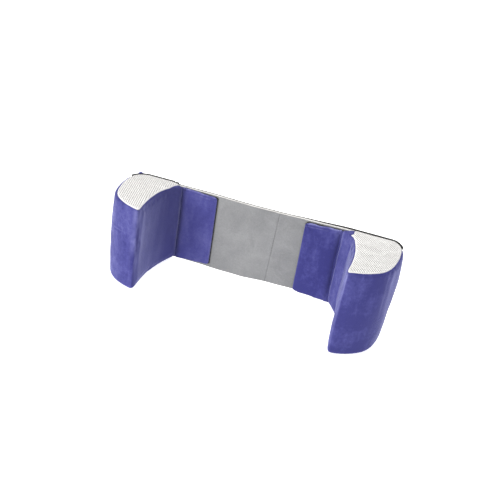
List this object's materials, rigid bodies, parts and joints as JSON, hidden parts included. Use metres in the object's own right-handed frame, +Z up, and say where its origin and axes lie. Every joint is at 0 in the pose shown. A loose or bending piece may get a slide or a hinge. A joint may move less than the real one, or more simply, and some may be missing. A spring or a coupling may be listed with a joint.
{
  "type": "wheelchair lateral support cushion",
  "caption": "Padded lateral supports for a wheelchair back: soft velour bolsters with mesh tops, held by flaps on a flat loop-cloth band.",
  "frame": {"origin": "middle of the part's box, on the surface that the bolsters stand on", "axes": "+X along the band, to the right for someone facing the trunk side; +Y out of the band's back, towards the backrest; +Z up"},
  "size_m": [0.5092, 0.1632, 0.163],
  "materials": {
    "velour": "blue-violet velour with a brushed, mottled nap",
    "spacer_mesh": "white spacer mesh with slanted rows of fine holes",
    "loop_cloth": "grey brushed loop cloth",
    "pale_foam": "pale wadding between the band's cloths",
    "dark_cloth": "dark woven backing cloth",
    "hook_sheet": "black hook tape",
    "closure_tape": "dark closure tape with a fine rib",
    "slider_plastic": "dark slider"
  },
  "bodies": {
    "root": {"band_face": "loop_cloth", "band_core": "pale_foam", "band_back": "dark_cloth", "band_end_left": "velour", "bolster_left": "velour", "bolster_right": "velour", "top_mesh_left": "spacer_mesh", "top_mesh_right": "spacer_mesh", "flap_left": "velour", "flap_right": "velour", "flap_hook_left": "hook_sheet", "flap_hook_right": "hook_sheet", "zip_left": "closure_tape", "zip_right": "closure_tape", "zip_slider_left": "slider_plastic"}
  },
  "joints": []
}
